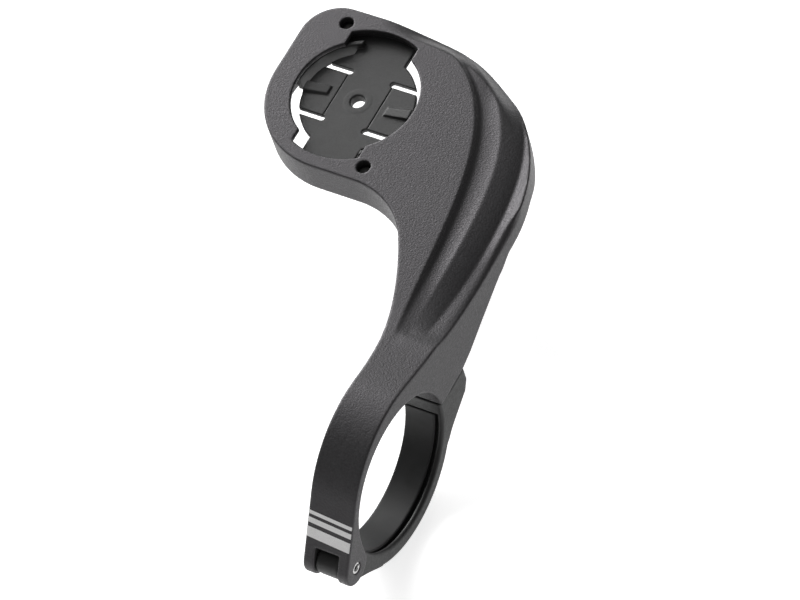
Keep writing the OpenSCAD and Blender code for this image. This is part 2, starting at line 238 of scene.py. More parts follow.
def signed(points, gx, gy):
    """Distance from a closed outline to every point of a flat grid."""
    pts = np.array(points, float)
    best = np.full(gx.shape, 1e9, np.float32)
    inside = np.zeros(gx.shape, bool)
    for (ax, ay), (bx, by) in zip(pts, np.roll(pts, -1, axis=0)):
        ex, ey = bx - ax, by - ay
        t = np.clip(((gx - ax) * ex + (gy - ay) * ey) / max(ex * ex + ey * ey, 1e-12), 0, 1)
        best = np.minimum(best, np.hypot(gx - ax - t * ex, gy - ay - t * ey))
        if by != ay:
            inside ^= ((ay > gy) != (by > gy)) & (gx < ax + (gy - ay) * ex / (by - ay))
    return np.where(inside, -best, best).astype(np.float32)


def beside(points, gx, gy):
    """Distance from an open line, positive on the right of the way it runs."""
    best = np.full(gx.shape, 1e9, np.float32)
    side = np.ones(gx.shape, np.float32)
    for (ax, ay), (bx, by) in zip(points[:-1], points[1:]):
        ex, ey = bx - ax, by - ay
        t = np.clip(((gx - ax) * ex + (gy - ay) * ey) / (ex * ex + ey * ey), 0, 1)
        d = np.hypot(gx - ax - t * ex, gy - ay - t * ey)
        near = d < best
        best = np.where(near, d, best)
        side = np.where(near, np.sign((gx - ax) * ey - (gy - ay) * ex), side)
    return best * side


def smax(a, b, r):
    """The larger of two fields, with a fillet of about r where they cross."""
    h = np.maximum(r - np.abs(a - b), 0) / r
    return np.maximum(a, b) + h * h * r * 0.25


def smin(a, b, r):
    """The smaller of two fields, with a fillet of about r where they cross."""
    return -smax(-a, -b, r)


def both(*fields):
    """Where all of the fields overlap."""
    out = fields[0]
    for f in fields[1:]:
        out = np.maximum(out, f)
    return out


def carve(body, cut, r=0.25):
    """Takes cut out of body, rounding the new edge."""
    return smax(body, -cut, r)


def wedge(x, y, a0, a1):
    """The sector between two directions, less than half a turn apart."""
    a0, a1 = math.radians(a0), math.radians(a1)
    return np.maximum(x * math.sin(a0) - y * math.cos(a0), y * math.cos(a1) - x * math.sin(a1))


def disc(x, y, r):
    """A circle about the origin."""
    return np.hypot(x, y) - r


def slab(v, lo, hi):
    """Between two planes."""
    return np.maximum(lo - v, v - hi)


def ease(t):
    """A smooth step from 0 to 1."""
    t = np.clip(t, 0, 1)
    return t * t * (3 - 2 * t)


def blur(h, cells):
    """Softens a height map over a few cells."""
    kernel = np.hanning(2 * cells + 3)[1:-1]
    kernel /= kernel.sum()
    for axis in (0, 1):
        pad = [(cells, cells) if a == axis else (0, 0) for a in (0, 1)]
        h = np.apply_along_axis(np.convolve, axis, np.pad(h, pad, "edge"), kernel, "valid")
    return h


# ---------------------------------------------------------------- from fields to meshes

class Grid:
    """A block of space, in mm, on which a piece is modelled."""

    def __init__(self, lo, hi, step):
        self.step = step
        self.axes = [np.arange(a - 4 * step, b + 4 * step, step, dtype=np.float32)
                     for a, b in zip(lo, hi)]
        self.x = self.axes[0][:, None, None]
        self.y = self.axes[1][None, :, None]
        self.z = self.axes[2][None, None, :]

    def plan(self, field):
        """Lifts a function of (x, y) into the block."""
        return field(*np.meshgrid(self.axes[0], self.axes[1], indexing="ij"))[:, :, None]

    def side(self, field):
        """Lifts a function of (y, z) into the block."""
        return field(*np.meshgrid(self.axes[1], self.axes[2], indexing="ij"))[None, :, :]

    def outline(self, points):
        """The inside of an outline in (y, z)."""
        return self.side(lambda y, z: signed(points, y, z))

    def bore(self, r, y0=0.0, z0=0.0):
        """A cylinder along x."""
        return self.side(lambda y, z: disc(y - y0, z - z0, r))

    def mesh(self, name, field):
        """The surface where the field is zero, as an object in metres."""
        f = np.ascontiguousarray(np.broadcast_to(field, [len(a) for a in self.axes]), np.float32)
        points, faces = surface_net(f)
        points = settle(f, points)
        low = np.array([a[0] for a in self.axes])
        return make_object(name, (points * self.step + low) * MM, faces)


def surface_net(f):
    """One point in every cell that the surface crosses, and one quad for every grid edge it cuts."""
    neg = f < 0
    shape = np.array(f.shape) - 1
    corners = list(itertools.product((0, 1), repeat=3))
    window = [tuple(slice(c, c + n) for c, n in zip(corner, shape)) for corner in corners]
    mixed = np.zeros(tuple(shape), bool)
    for w in window[1:]:
        mixed |= neg[w] != neg[window[0]]
    cells = np.argwhere(mixed)
    index = np.full(tuple(shape), -1, np.int64)
    index[mixed] = np.arange(len(cells))
    unit = np.eye(3, dtype=int)
    total, place = np.zeros(len(cells)), np.zeros((len(cells), 3))
    for axis in range(3):
        for corner in corners:
            if corner[axis]:
                continue
            fa = f[tuple((cells + corner).T)]
            fb = f[tuple((cells + corner + unit[axis]).T)]
            cut = (fa < 0) != (fb < 0)
            t = np.where(cut, fa / np.where(cut, fa - fb, 1), 0)
            total += cut
            place += cut[:, None] * np.array(corner) + t[:, None] * unit[axis]
    faces = []
    for axis in range(3):
        u, v = unit[(axis + 1) % 3], unit[(axis + 2) % 3]
        inner = [slice(1, -1)] * 3
        a, b = list(inner), list(inner)
        a[axis], b[axis] = slice(0, -1), slice(1, None)
        na, nb = neg[tuple(a)], neg[tuple(b)]
        for outward in (True, False):
            hit = np.argwhere(na & ~nb if outward else ~na & nb) + u + v
            ring = [hit - u - v, hit - v, hit, hit - u]
            quad = np.stack([index[tuple(r.T)] for r in ring], axis=1)
            faces.append(quad if outward else quad[:, ::-1])
    return cells + place / total[:, None], np.concatenate(faces)


def sample(f, p):
    """The field between its grid points."""
    base = np.clip(np.floor(p).astype(int), 0, np.array(f.shape) - 2)
    t = p - base
    out = np.zeros(len(p))
    for corner in itertools.product((0, 1), repeat=3):
        weight = np.prod(np.where(corner, t, 1 - t), axis=1)
        out += weight * f[tuple((base + corner).T)]
    return out


def settle(f, points):
    """Moves the points onto the surface, along the field's slope."""
    for _ in range(2):
        slope = np.stack([sample(f, points + d) - sample(f, points - d)
                          for d in 0.5 * np.eye(3)], axis=1)
        size = np.maximum((slope ** 2).sum(1), 1e-6)
        move = slope * (sample(f, points) / size)[:, None]
        points = points - np.clip(move, -0.3, 0.3)
    return points


def make_object(name, points, faces):
    """A smooth-shaded object from arrays of points and quads."""
    mesh = bpy.data.meshes.new(name)
    mesh.vertices.add(len(points))
    mesh.vertices.foreach_set("co", np.asarray(points, np.float32).ravel())
    mesh.loops.add(faces.size)
    mesh.loops.foreach_set("vertex_index", faces.astype(np.int32).ravel())
    mesh.polygons.add(len(faces))
    mesh.polygons.foreach_set("loop_start", np.arange(0, faces.size, 4, dtype=np.int32))
    mesh.polygons.foreach_set("use_smooth", np.ones(len(faces), bool))
    mesh.update(calc_edges=True)
    mesh.validate()
    obj = bpy.data.objects.new(name, mesh)
    bpy.context.scene.collection.objects.link(obj)
    return obj


def stand_for(obj, node, body, material):
    """Gives a modelled piece its place in the frame and its finish."""
    obj.data.materials.append(material)
    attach(obj, body)
    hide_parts(node)


# ---------------------------------------------------------------- arm

# Each ridge from the rear to the front, as a cubic curve in plan.
RIDGES = [[(-3.4, 16), (-8.3, 35.8), (-2.7, 77.9), (-31.2, 84.2)],
          [(-0.9, 8.1), (-5.1, 40.8), (5.2, 73), (-25.2, 84.2)],
          [(1.2, 24), (2.3, 42), (4.4, 66), (-8.3, 76.5)]]
# Where the ridges, the fall of the outer edge and the rolled front edge grow in: each as
# (start, length) forward along y, then (start, length) to the right along x.
FIRST_IN = ((14, 28), (-29, 9))
SECOND_IN = ((10, 24), (-20, 8))
THIRD_IN = ((37, 16), (-9.5, 5))
EDGE_IN = ((17, 6), (-36, 14))
FRONT_IN = ((60, 8), (-42, 16))
FALL = (19, 21)       # start and length, along y, of the outer edge's fall
FRONT_END = (-4, 9)   # where the rolled front edge ends on the right, and over what length
GROOVE = 0.85         # depth of the groove between the first two ridges
GROOVE_AT = 0.25      # its deepest line, as a share of the way across
GROOVE_FULL = 4.0     # width at which it has its whole depth
GROOVE_POWER = 1.5    # above 1, its outer side steepens towards the second ridge
GAP, EDGE_GAP = 0.4, 0.3  # least width of a strip between two ridges, and of the one at the edge
CREST_DROP = 0.9      # second ridge below the flat top
BULGE = 0.25          # how full the strip between the second and third lines is
EDGE_DROP = 2.8       # outer edge below the flat top
VALLEY = 0.35         # how much the third line is sunk
VALLEY_AT = (0.8, 0.2)    # its share of the way down to the edge at the rear, and how much less in front
SHELF_TILT = 0.30     # rise of the outer shelf beyond it, per mm
SHELF_W = (1.6, 8)    # width of the shelf at the rear, and how much wider it gets
SHELF_IN = (48, 24)   # where along y it widens, as (start, length)
ROLL, ROLL_W = 2.6, 3.2   # how far the front edge rolls down, and over what width
SOFTEN = 0.22         # how far the ridges are smoothed
TOP_LINE_FROM = -8.0  # the line of the top is read in front of this
RIDGED_FROM = 12.0    # and the ridged surface counts in front of this
OFF = 20.0            # puts a cut out of reach
EDGE_R = 0.4          # rounding of the arm's outer edges


def run_on(curve, length=60):
    """A curve with a straight run added at both ends."""
    first, last = curve[0] - curve[1], curve[-1] - curve[-2]
    return np.vstack([curve[0] + first * length / np.linalg.norm(first), curve,
                      curve[-1] + last * length / np.linalg.norm(last)])


def grown(x, y, along, across):
    """0 where a feature hasn't begun and 1 where it is whole."""
    return ease((y - along[0]) / along[1]) * ease((x - across[0]) / across[1])


def ridge_drop(x, y):
    """How far the sculpted right side of the arm lies below its flat top."""
    s1, s2, s3 = (beside(run_on(bezier(r)), x, y) for r in RIDGES)
    rim = np.maximum(-signed(arm_plan(), x, y), 0)
    first, second, third = (grown(x, y, *spans) for spans in (FIRST_IN, SECOND_IN, THIRD_IN))
    fall = np.clip((y - FALL[0]) / FALL[1], 0, 1)
    edge = EDGE_DROP * fall * (2 - fall) * grown(x, y, *EDGE_IN)
    crest = np.minimum(CREST_DROP * second, edge)
    valley = crest + (VALLEY_AT[0] - VALLEY_AT[1] * third) * (edge - crest) + VALLEY * third

    t = np.clip(s1 / np.maximum(s1 - s2, GAP), 0, 1)
    rise = np.clip((t - GROOVE_AT) / (1 - GROOVE_AT), 0, 1)
    dip = np.where(t < GROOVE_AT, 1 - (1 - t / GROOVE_AT) ** 2, 1 - rise ** GROOVE_POWER)
    inner = crest * t + GROOVE * first * dip * np.clip((s1 - s2) / GROOVE_FULL, 0, 1)
    t = np.clip(s2 / np.maximum(s2 - s3, GAP), 0, 1)
    middle = crest + (valley - crest) * ((1 - BULGE) * t + BULGE * t ** 3)
    reach = SHELF_W[0] + SHELF_W[1] * ease((y - SHELF_IN[0]) / SHELF_IN[1])
    t = np.clip((s3 - reach) / np.maximum(s3 + rim - reach, EDGE_GAP), 0, 1)
    shelf = valley - SHELF_TILT * third * np.minimum(s3, reach)
    outer = shelf + (edge - shelf) * t ** 2
    drop = np.where(s3 > 0, outer, np.where(s2 > 0, middle, np.where(s1 > 0, inner, 0)))
    front = grown(x, y, *FRONT_IN) * ease((FRONT_END[0] - x) / FRONT_END[1])
    return drop + ROLL * front * ease(1 - rim / ROLL_W)


def lowered_top(g):
    """The top surface of the arm, with its ridges, as a field."""
    line = np.array(top_line()[::-1])
    line = line[np.argmax(line[:, 0] > TOP_LINE_FROM):]
    top = np.interp(g.axes[1], line[:, 0], line[:, 1])[None, :]
    drop = ridge_drop(*np.meshgrid(g.axes[0], g.axes[1], indexing="ij"))
    height = top - blur(drop, max(1, round(SOFTEN / g.step)))
    gx, gy = np.gradient(height, g.step)
    lean = np.sqrt(1 + gx ** 2 + gy ** 2)
    return ((g.z - height[:, :, None]) / lean[:, :, None]).astype(np.float32)


def strip(x, y, r, left, right):
    """Front half of a disc, between two sides."""
    return both(disc(x, y, r), left - x, x - right, -y)


def socket_openings(x, y):
    """Mouth of the receptacle and its two notches, about the middle of the head."""
    notches = two_turns(x, y, lambda u, v: strip(u, v, NOTCH_R, -NOTCH_LEFT, NOTCH_RIGHT))
    return np.minimum(disc(x, y, MOUTH_R), notches)


def two_turns(x, y, field):
    """A field in plan, repeated half a turn round the receptacle."""
    return np.minimum(field(x, y), field(-x, -y))


def screw_axis(x, y):
    """Distance from the nearer of the two insert screws."""
    a = math.radians(SCREW_A)
    sx, sy = SCREW_D * math.cos(a), SCREW_D * math.sin(a)
    return np.minimum(np.hypot(x - sx, y - sy), np.hypot(x + sx, y + sy))


def bolt_frame(g):
    """Height along the clamp bolt above the split, place across it, and distance from its axis."""
    down = Vector(joint("bolt_turn")["axis"])
    pos = np.array(joint("bolt_turn")["pos_m"]) / MM
    y, z = g.y - pos[1], g.z - pos[2]
    along = -(y * down.y + z * down.z)
    across = y * down.z - z * down.y
    return along, across, np.hypot(g.x, across)


def lower_bevel(g, outline):
    """What the bevel takes off the lower right edge of the neck, as a field."""
    grow = grown(g.x, g.y, *BEVEL_IN) * ease((BEVEL_END[0] - g.y) / BEVEL_END[1])
    width, height = (size * np.maximum(grow, 0.01) for size in (BEVEL_W, BEVEL_H))
    above = g.z - np.interp(g.y, *np.array(BELLY).T)
    bevel = (1 + outline / width - above / height) * width * height / np.hypot(width, height)
    return np.where(g.y > BELLY[1][0], bevel, -OFF)


def build_arm():
    g = Grid(ARM_LO, ARM_HI, ARM_STEP)
    outline = g.plan(lambda x, y: signed(arm_plan(), x, y))
    profile = g.outline(arm_side())
    top = lowered_top(g) - OFF * (g.y < RIDGED_FROM)
    body = smax(outline, np.maximum(profile, top), EDGE_R)
    body = smax(body, lower_bevel(g, outline), 0.3)
    body = carve(body, g.bore(BAR_R), 0.5)

    hx, hy = g.axes[0][:, None] - HEAD_X, g.axes[1][None, :] - HEAD_Y
    openings = socket_openings(hx, hy)[:, :, None]
    body = carve(body, both(openings, FLOOR_Z - 1 - g.z), 0.15)
    track = both(disc(hx, hy, TRACK_R)[:, :, None], slab(g.z, FLOOR_Z - 1, LIP_Z))
    body = carve(body, track, 0.12)
    pocket = both(disc(hx, hy, PLATE_R + FIT)[:, :, None], g.z - FLOOR_Z)
    lobes = both((screw_axis(hx, hy) - LOBE_R - FIT)[:, :, None], g.z - LOBE_Z)
    body = carve(body, smin(pocket, lobes, 0.3), 0.25)
    body = carve(body, (screw_axis(hx, hy) - SCREW_HOLE_R)[:, :, None], 0.08)

    slot = both(np.abs(g.x) - EAR_SLOT, g.y + BAR_R - 2, g.z - WINDOW_Z)
    body = carve(body, slot, 0.35)
    body = carve(body, g.bore(PIN_R, PIN_Y, PIN_Z), 0.25)
    along, _, radius = bolt_frame(g)
    body = carve(body, both(radius - NUT_R, along - NUT_TOP), 0.25)
    body = carve(body, both(radius - SHANK_R - FIT, along - NUT_TOP - HOLE_PAST), 0.15)
    return g.mesh("arm_moulding", body)


# ---------------------------------------------------------------- receptacle insert

def build_plate():
    g = Grid(PLATE_LO, PLATE_HI, PART_STEP)
    x, y, z = g.x - HEAD_X, g.y - HEAD_Y, g.z
    radius = np.hypot(x, y)
    root = node_box("detent_right")[0][0] - HEAD_X
    half = SLOT_Y - SLOT_T / 2

    plan = both(MOUTH_R - radius, radius - PLATE_R)
    plan = both(plan, two_turns(x, y, lambda u, v: wedge(u, v, FLANGE_A, 180)))
    bridges = two_turns(x, y, lambda u, v: strip(u, v, PLATE_R, *BRIDGE_X))
    plan = np.minimum(np.minimum(plan, bridges), disc(x, y, FLOOR_R))
    slots = two_turns(x, y, lambda u, v: np.minimum(
        both(FINGER_X - u, np.abs(np.abs(v) - SLOT_Y) - SLOT_T / 2, disc(u, v, FLOOR_R + 1)),
        np.hypot(u - FINGER_X, np.abs(v) - SLOT_Y) - SLOT_T / 2))
    slots = np.minimum(slots, both(slab(x, *RELIEF_X), slab(y, *RELIEF_Y)))
    plan = both(plan, -slots)
    floor = smax(plan, slab(z, FLOOR_Z - FLOOR_T, FLOOR_Z), 0.12)
    floor = smin(floor, both(radius - BOSS_R, slab(z, PLATE_LO[2], FLOOR_Z - 0.2)), 0.4)
    floor = carve(floor, radius - CENTRE_R, 0.35)
    back = root - FINGER_GAP - UNDERCUT * (FLOOR_Z - z)
    fingers = two_turns(x, y, lambda u, v: both(back - u, np.abs(v) - half, disc(u, v, FLOOR_R + 0.5)))
    floor = both(floor, -fingers)

    front, rear = (both(MOUTH_R - radius, radius - MOUTH_R - RIM_T, start + turn * x, -turn * y)
                   for start, turn in zip(RIM_X, (1, -1)))
    rims = smax(np.minimum(front, rear), slab(z, PLATE_LO[2], LIP_Z), 0.12)
    lobes = smax(screw_axis(x, y) - LOBE_R, slab(z, PLATE_LO[2], LOBE_Z), 0.3)
    body = np.minimum(smin(floor, lobes, 0.3), rims)
    body = carve(body, screw_axis(x, y) - SCREW_HOLE_R, 0.25)
    return g.mesh("receptacle_plate", body)


def build_finger(node, turn):
    """A spring finger of the floor with its detent. turn is 1 on the right and -1 on the left."""
    lo, hi = node_box(node)
    g = Grid(lo, hi, PART_STEP)
    u, v, z = turn * (g.x - HEAD_X), turn * (g.y - HEAD_Y), g.z - FLOOR_Z
    root = turn * ((lo if turn > 0 else hi)[0] - HEAD_X)
    edges = smax(np.abs(v) - SLOT_Y + SLOT_T / 2, disc(u, v, FLOOR_R), 0.2)
    tongue = both(smax(edges, slab(z, lo[2] - FLOOR_Z, 0), 0.15), root - u)
    reach = (u - DETENT_IN) / (FLOOR_R - DETENT_IN)
    near, far = (start + move * reach for start, move in DETENT_SIDES)
    sides = np.maximum(0.97 * (near - v + NEAR_LEAN * z), 0.8 * (v - far + FAR_LEAN * z))
    crown = z - (hi[2] - FLOOR_Z) * (1 - DETENT_RISE + DETENT_RISE * reach)
    detent = smax(smax(sides, crown, 0.12), DETENT_IN - u + 0.3 * z, 0.12)
    detent = both(smax(detent, disc(u, v, FLOOR_R), 0.15), -0.6 - z)
    return g.mesh(node + "_finger", smin(tongue, detent, 0.15))


# ---------------------------------------------------------------- lower jaw and liner

def jaw_lug():
    """The jaw's lug from the right, as (y, z)."""
    front, bottom = JAW_HI[1], -LUG_H - SPLIT
    return [(0, 0), polar((0, 0), JAW_R, LUG_A), (front - LUG_CORNER[0], bottom),
            (front, bottom + LUG_CORNER[1]), (front, -SPLIT - 0.3), (front - 0.3, -SPLIT),
            (BAR_R - 1, -SPLIT)]


def jaw_heel():
    """The part of the jaw that runs up to the hinge, as (y, z)."""
    pin = (PIN_Y, PIN_Z)
    r = KNUCKLE_R + 0.3
    a = tangent(pin, r, (0, 0), JAW_R, -1)
    return [pin, polar(pin, r, a), polar((0, 0), JAW_R, a), (0, 0)]


def jaw_neck():
    """What joins the knuckle to the strap, as (y, z)."""
    return [(PIN_Y, PIN_Z), polar((0, 0), JAW_R, NECK_A[0]), polar((0, 0), BAR_R + 0.2, NECK_A[1]),
            (PIN_Y + KNUCKLE_R, PIN_Z)]


def build_jaw():
    g = Grid(JAW_LO, JAW_HI, PART_STEP)
    bar = g.bore(BAR_R)
    strap = both(g.bore(JAW_R), g.z + SPLIT)
    side = smin(smin(strap, g.outline(jaw_lug()), 2), g.outline(jaw_heel()), 0.8)
    side = smax(side, -bar, 0.3)

    cheeks = smax(side, np.abs(g.x) - JAW_HALF, 0.7)
    cheeks = carve(cheeks, g.bore(EAR_R + 0.3, PIN_Y, PIN_Z), 0.25)
    cheeks = carve(cheeks, both(CHEEK_Z - g.z, g.y + BAR_R / 2), 0.25)
    knuckle = g.bore(KNUCKLE_R, PIN_Y, PIN_Z)
    web = both(side, g.z - CHEEK_Z, g.y + BAR_R / 2)
    tongue = smin(smin(knuckle, web, 0.8), smax(g.outline(jaw_neck()), -bar, 0.2), 0.3)
    body = smin(cheeks, smax(tongue, np.abs(g.x) - TONGUE_HALF, 0.4), 0.2)

    sector = g.side(lambda y, z: wedge(y, z, *SEAT_A))
    body = carve(body, both(g.bore(BAR_R + LINER_T), sector, g.x - LINER_HI[0] - GROOVE_W), 0.2)
    body = carve(body, g.bore(PIN_R + FIT, PIN_Y, PIN_Z), 0.2)
    along, _, radius = bolt_frame(g)
    body = carve(body, both(radius - SHANK_R - 0.25, along - 3), 0.25)
    body = carve(body, both(radius - WASHER_R - 0.1, along + SEAT_DROP), 0.3)
    return g.mesh("jaw_moulding", body)


def build_liner():
    g = Grid(LINER_LO, LINER_HI, PART_STEP)
    ring = g.side(lambda y, z: slab(np.hypot(y, z), BAR_R, BAR_R + LINER_T))
    span = g.side(lambda y, z: wedge(y, z, *LINER_A))
    body = smax(smax(ring, slab(g.x, LINER_LO[0], LINER_HI[0]), 0.3), span, 0.3)
    return g.mesh("jaw_pad", body)


# ---------------------------------------------------------------- metal pieces

def build_pin():
    lo, hi = node_box("hinge_pin")
    g = Grid(lo, hi, SMALL_STEP)
    y, z = g.y - PIN_Y, g.z - PIN_Z
    radius = np.hypot(y, z)
    tube = smax(radius - PIN_R, PIN_HOLE_R - radius, 0.1)
    tube = smax(tube, slab(g.x, lo[0], hi[0]), 0.45)
    return g.mesh("roll_pin", carve(tube, both(np.abs(z) - PIN_SLIT / 2, -y), 0.12))


def build_washer():
    lo, hi = node_box("bolt_washer")
    g = Grid(lo, hi, SMALL_STEP)
    along, _, radius = bolt_frame(g)
    body = smax(radius - WASHER_R, slab(along, -SEAT_DROP - WASHER_T, -SEAT_DROP), 0.16)
    return g.mesh("flat_washer", carve(body, radius - SHANK_R - 0.1, 0.12))


def thread(g, crest, core):
    """A right-handed screw thread about the bolt."""
    along, across, radius = bolt_frame(g)
    turn = np.arctan2(across, g.x) / (2 * np.pi)
    phase = (along / THREAD_PITCH + turn) % 1
    ridge = np.abs(phase - 0.5) * 2
    return (radius - core - (crest - core) * np.clip(1.3 * ridge - 0.15, 0, 1)) * 0.7


def build_bolt():
    lo, hi = node_box("clamp_bolt")
    g = Grid(lo, hi, SMALL_STEP)
    along, across, radius = bolt_frame(g)
    under = -SEAT_DROP - WASHER_T
    head = smax(radius - BOLT_HEAD_R, slab(along, under - BOLT_HEAD_H, under), 0.5)
    shank = both(radius - SHANK_R + 0.03, slab(along, under - 0.2, 0))
    tip = (radius + along - TIP_TOP - CORE_R + 0.2) * 0.7
    threaded = both(thread(g, SHANK_R - 0.03, CORE_R), slab(along, -0.1, TIP_TOP), tip)
    body = smin(smin(head, shank, 0.25), threaded, 0.1)
    flats = [np.abs(g.x * math.cos(math.radians(a)) + across * math.sin(math.radians(a)))
             for a in (0, 60, 120)]
    socket = both(both(*flats) - SOCKET_AF / 2, along - (under - BOLT_HEAD_H / 2))
    return g.mesh("socket_bolt", carve(body, socket, 0.12))


def build_thread_insert():
    lo, hi = node_box("thread_insert")
    g = Grid(lo, hi, SMALL_STEP)
    along, _, radius = bolt_frame(g)
    body = smax(radius - NUT_R, slab(along, NUT_LOW, NUT_TOP), 0.3)
    hole = thread(g, SHANK_R + 0.06, CORE_R + 0.1)
    lead = radius - SHANK_R - 0.1 + np.abs(along - (NUT_LOW + NUT_TOP) / 2) - (NUT_TOP - NUT_LOW) / 2
    return g.mesh("brass_insert", carve(body, np.minimum(hole, 0.7 * (lead + 0.25)), 0.1))


def build_screw(node):
    """A pan head screw with a cross recess."""
    lo, hi = node_box(node)
    g = Grid(lo, hi, SMALL_STEP)
    x, y = g.x - (lo[0] + hi[0]) / 2, g.y - (lo[1] + hi[1]) / 2
    radius, z = np.hypot(x, y), g.z - lo[2]
    dome = np.sqrt(radius ** 2 + (z - SCREW_DOME_R) ** 2) - SCREW_DOME_R
    head = smax(smax(radius - SCREW_HEAD_R, dome, 0.4), z - SCREW_HEAD_H, 0.15)
    end = float(hi[2] - lo[2])
    phase = (z / SCREW_PITCH - np.arctan2(y, x) / (2 * np.pi)) % 1
    groove = SCREW_GROOVE * np.clip(1.5 * np.abs(2 * phase - 1) - 0.3, 0, 1)
    shank = both((radius - SCREW_R + groove) * 0.7, slab(z, SCREW_HEAD_H - 0.2, end))
    body = smin(head, shank, 0.15)
    a = math.radians(SCREW_A)
    u, v = x * math.cos(a) + y * math.sin(a), y * math.cos(a) - x * math.sin(a)
    taper = 0.25 * z
    wings = [both(np.abs(p) - CROSS_REACH + taper, np.abs(q) - CROSS_HALF + 0.3 * taper)
             for p, q in ((u, v), (v, u))]
    return g.mesh(node + "_pan", carve(body, both(np.minimum(*wings), z - CROSS_DEPTH), 0.1))


# ---------------------------------------------------------------- materials

class Finish:
    """A material whose detail comes from noise in the object's own coordinates."""

    def __init__(self, name):
        self.material = bpy.data.materials.new(name)
        self.material.use_nodes = True
        self.tree = self.material.node_tree
        self.shader = self.tree.nodes["Principled BSDF"]
        self.coords = self.add("ShaderNodeTexCoord").outputs["Object"]

    def add(self, kind, **props):
        node = self.tree.nodes.new(kind)
        for key, value in props.items():
            setattr(node, key, value)
        return node

    def link(self, a, b):
        self.tree.links.new(a, b)

    def noise(self, size_mm, detail=3.0, rough=0.55, stretch=(1, 1, 1)):
        """Noise whose features are about size_mm across."""
        mapping = self.add("ShaderNodeMapping")
        mapping.inputs["Scale"].default_value = stretch
        noise = self.add("ShaderNodeTexNoise")
        noise.inputs["Scale"].default_value = 1 / (size_mm * MM)
        noise.inputs["Detail"].default_value = detail
        noise.inputs["Roughness"].default_value = rough
        self.link(self.coords, mapping.inputs["Vector"])
        self.link(mapping.outputs["Vector"], noise.inputs["Vector"])
        return noise.outputs["Fac"]

    def cells(self, size_mm):
        """Rounded pebbles about size_mm across."""
        cells = self.add("ShaderNodeTexVoronoi", feature="SMOOTH_F1")
        cells.inputs["Scale"].default_value = 1 / (size_mm * MM)
        self.link(self.coords, cells.inputs["Vector"])
        return cells.outputs["Distance"]

    def ramp(self, value, lo, hi, start=0.3, stop=0.7):
        """Maps a value between start and stop onto lo to hi."""
        node = self.add("ShaderNodeMapRange")
        node.inputs["From Min"].default_value = start
        node.inputs["From Max"].default_value = stop
        node.inputs["To Min"].default_value = lo
        node.inputs["To Max"].default_value = hi
        self.link(value, node.inputs["Value"])
        return node.outputs["Result"]

    def shade(self, value, dark, light, start=0.3, stop=0.7):
        """A colour between dark and light."""
        node = self.add("ShaderNodeMix", data_type="RGBA")
        node.inputs["A"].default_value = (*dark, 1)
        node.inputs["B"].default_value = (*light, 1)
        self.link(self.ramp(value, 0, 1, start, stop), node.inputs["Factor"])
        return node.outputs["Result"]

    def blend_in(self, mask, below, above, kind="RGBA"):
        """Lays one colour or value over another where the mask is 1."""
        node = self.add("ShaderNodeMix", data_type=kind)
        self.link(mask, node.inputs["Factor"])
        for side, value in (("A", below), ("B", above)):
            self.link(value, node.inputs[side])
        return node.outputs["Result"]

    def math(self, op, a, b):
        node = self.add("ShaderNodeMath", operation=op)
        for socket, value in zip(node.inputs, (a, b)):
            if isinstance(value, (int, float)):
                socket.default_value = value
            else:
                self.link(value, socket)
        return node.outputs["Value"]

    def bump(self, heights):
        """Stacks bumps, each given as (height, depth in mm, strength)."""
        normal = None
        for height, depth_mm, strength in heights:
            node = self.add("ShaderNodeBump")
            node.inputs["Distance"].default_value = depth_mm * MM
            node.inputs["Strength"].default_value = strength
            self.link(height, node.inputs["Height"])
            if normal:
                self.link(normal, node.inputs["Normal"])
            normal = node.outputs["Normal"]
        self.link(normal, self.shader.inputs["Normal"])

    def set(self, **values):
        for name, value in values.items():
            socket = self.shader.inputs[name.replace("_", " ")]
            if isinstance(value, bpy.types.NodeSocket):
                self.link(value, socket)
            else:
                socket.default_value = value
        return self.material


def grey(value, warm=0.0):
    """A near-neutral colour, a little warmer or cooler."""
    return (value * (1 + warm), value, value * (1 - warm))


def moulding_finish():
    """Sandy charcoal plastic, with three pale printed bands across the rear of the arm."""
    f = Finish("charcoal_moulding")
    grain, mottle = f.noise(0.35, 2), f.noise(9, 4)
    speck = f.noise(0.16, 1)
    plastic = f.shade(grain, grey(0.018), grey(0.030, -0.01))
    tint = f.shade(mottle, grey(0.92), grey(1.06))
    mixed = f.add("ShaderNodeMix", data_type="RGBA", blend_type="MULTIPLY")
    mixed.inputs["Factor"].default_value = 1
    f.link(plastic, mixed.inputs["A"])
    f.link(tint, mixed.inputs["B"])
    ink = f.shade(speck, grey(0.72), grey(0.82, 0.01))
    place = f.add("ShaderNodeSeparateXYZ")
    f.link(f.coords, place.inputs["Vector"])
    height = f.math("ADD", place.outputs["Z"], f.math("MULTIPLY", place.outputs["X"], BAND_TILT))
    rear = f.math("LESS_THAN", place.outputs["Y"], BAND_Y * MM)
    mask = None
    for low, high in BANDS:
        band = f.math("MULTIPLY", f.math("GREATER_THAN", height, low * MM),
                      f.math("LESS_THAN", height, high * MM))
        mask = f.math("MAXIMUM", mask, band) if mask else band
    squares = [f.math("MULTIPLY", place.outputs[axis], place.outputs[axis]) for axis in "YZ"]
    outside = f.math("GREATER_THAN", f.math("ADD", *squares), ((BAR_R + 1) * MM) ** 2)
    flank = f.math("LESS_THAN", f.math("ABSOLUTE", place.outputs["X"], 0), (HALF_W - EDGE_R / 2) * MM)
    for limit in (rear, outside, flank):
        mask = f.math("MULTIPLY", mask, limit)
    f.bump([(f.noise(1.6, 2), 0.02, 0.3), (f.cells(0.34), 0.045, 0.6), (grain, 0.05, 0.8)])
    return f.set(Base_Color=f.blend_in(mask, mixed.outputs["Result"], ink),
                 Roughness=f.blend_in(mask, f.ramp(grain, 0.37, 0.59), f.ramp(speck, 0.45, 0.6),
                                      "FLOAT"),
                 Specular_IOR_Level=0.5, Specular_Tint=(0.99, 0.94, 1.0, 1))


